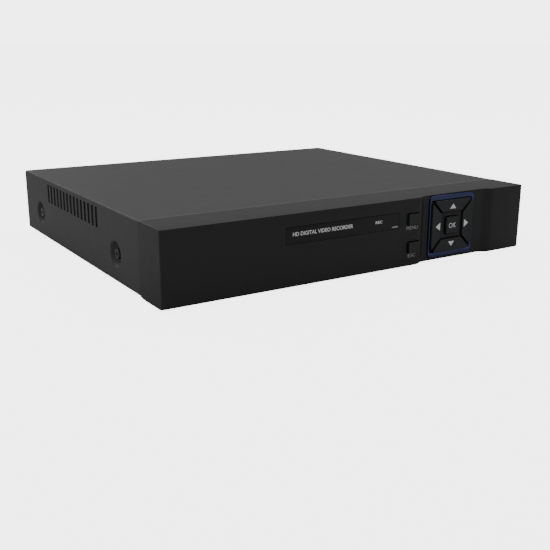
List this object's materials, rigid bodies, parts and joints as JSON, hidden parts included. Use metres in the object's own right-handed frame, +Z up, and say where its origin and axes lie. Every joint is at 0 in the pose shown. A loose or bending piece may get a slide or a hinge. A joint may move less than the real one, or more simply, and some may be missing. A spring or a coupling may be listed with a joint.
{
  "type": "digital video recorder",
  "caption": "Compact surveillance video recorder in a folded steel case with a moulded keypad front, press keys, side vents and rear camera sockets.",
  "frame": {"origin": "bottom centre of the whole recorder's box, on the surface that the feet stand on", "axes": "+X to the right seen from the front, +Y from the front face to the rear sockets, +Z up"},
  "size_m": [0.26, 0.2444, 0.0445],
  "materials": {
    "steel_black": "satin powder coat",
    "bezel_black": "fine satin moulding",
    "smoked": "polished",
    "ring_blue": "translucent light guide",
    "key_grey": "satin",
    "circuit_green": "solder resist",
    "black_plastic": "moulded",
    "lamp_clear": "clear",
    "rubber_black": "matt",
    "screw_zinc": "zinc plated",
    "bare_aluminium": "cast",
    "socket_nickel": "nickel plated",
    "cable_red": "cable jacket",
    "cable_grey": "cable jacket"
  },
  "bodies": {
    "case": {"top_cover": "steel_black", "base_pan": "steel_black", "front_bezel": "bezel_black", "indicator_window": "smoked", "dpad_light_ring": "ring_blue", "switch_up": "black_plastic", "switch_down": "black_plastic", "switch_left": "black_plastic", "switch_right": "black_plastic", "switch_ok": "black_plastic", "switch_menu": "black_plastic", "switch_esc": "black_plastic", "ir_receiver": "black_plastic", "power_jack": "black_plastic", "front_board": "circuit_green", "main_board": "circuit_green", "drive_board": "circuit_green", "led_power": "lamp_clear", "led_record": "lamp_clear", "led_drive": "lamp_clear", "cover_screw_left_1": "screw_zinc", "cover_screw_left_2": "screw_zinc", "cover_screw_right_1": "screw_zinc", "cover_screw_right_2": "screw_zinc", "rear_screw_1": "screw_zinc", "rear_screw_2": "screw_zinc", "drive_screw_1": "screw_zinc", "drive_screw_2": "screw_zinc", "drive_screw_3": "screw_zinc", "drive_screw_4": "screw_zinc", "board_screw_1": "screw_zinc", "board_screw_2": "screw_zinc", "board_screw_3": "screw_zinc", "board_screw_4": "screw_zinc", "front_board_screw_1": "screw_zinc", "front_board_screw_2": "screw_zinc", "foot_front_left": "rubber_black", "foot_front_right": "rubber_black", "foot_rear_left": "rubber_black", "foot_rear_right": "rubber_black", "soc_heatsink": "bare_aluminium", "drive_case": "bare_aluminium", "backup_battery": "socket_nickel", "bnc_stack_1": "socket_nickel", "bnc_stack_2": "socket_nickel", "bnc_stack_3": "socket_nickel", "bnc_stack_4": "socket_nickel", "audio_stack": "socket_nickel", "monitor_stack": "socket_nickel", "network_stack": "socket_nickel", "sata_data_cable": "cable_red", "drive_power_cable": "cable_grey", "front_ribbon": "cable_grey"},
    "key_up_body": {"key_up": "key_grey"},
    "key_down_body": {"key_down": "key_grey"},
    "key_left_body": {"key_left": "key_grey"},
    "key_right_body": {"key_right": "key_grey"},
    "key_ok_body": {"key_ok": "key_grey"},
    "menu_button_body": {"menu_button": "key_grey"},
    "esc_button_body": {"esc_button": "key_grey"}
  },
  "joints": [
    {"name": "key_up_press", "type": "slide", "parent": "case", "child": "key_up_body", "axis": [0, 1, 0], "range_m": [0, 0.0008], "stiffness_N_per_m": 1500, "springref_m": -0.0003},
    {"name": "key_down_press", "type": "slide", "parent": "case", "child": "key_down_body", "axis": [0, 1, 0], "range_m": [0, 0.0008], "stiffness_N_per_m": 1500, "springref_m": -0.0003},
    {"name": "key_left_press", "type": "slide", "parent": "case", "child": "key_left_body", "axis": [0, 1, 0], "range_m": [0, 0.0008], "stiffness_N_per_m": 1500, "springref_m": -0.0003},
    {"name": "key_right_press", "type": "slide", "parent": "case", "child": "key_right_body", "axis": [0, 1, 0], "range_m": [0, 0.0008], "stiffness_N_per_m": 1500, "springref_m": -0.0003},
    {"name": "key_ok_press", "type": "slide", "parent": "case", "child": "key_ok_body", "axis": [0, 1, 0], "range_m": [0, 0.0008], "stiffness_N_per_m": 1500, "springref_m": -0.0003},
    {"name": "menu_button_press", "type": "slide", "parent": "case", "child": "menu_button_body", "axis": [0, 1, 0], "range_m": [0, 0.0008], "stiffness_N_per_m": 1500, "springref_m": -0.0003},
    {"name": "esc_button_press", "type": "slide", "parent": "case", "child": "esc_button_body", "axis": [0, 1, 0], "range_m": [0, 0.0008], "stiffness_N_per_m": 1500, "springref_m": -0.0003}
  ]
}
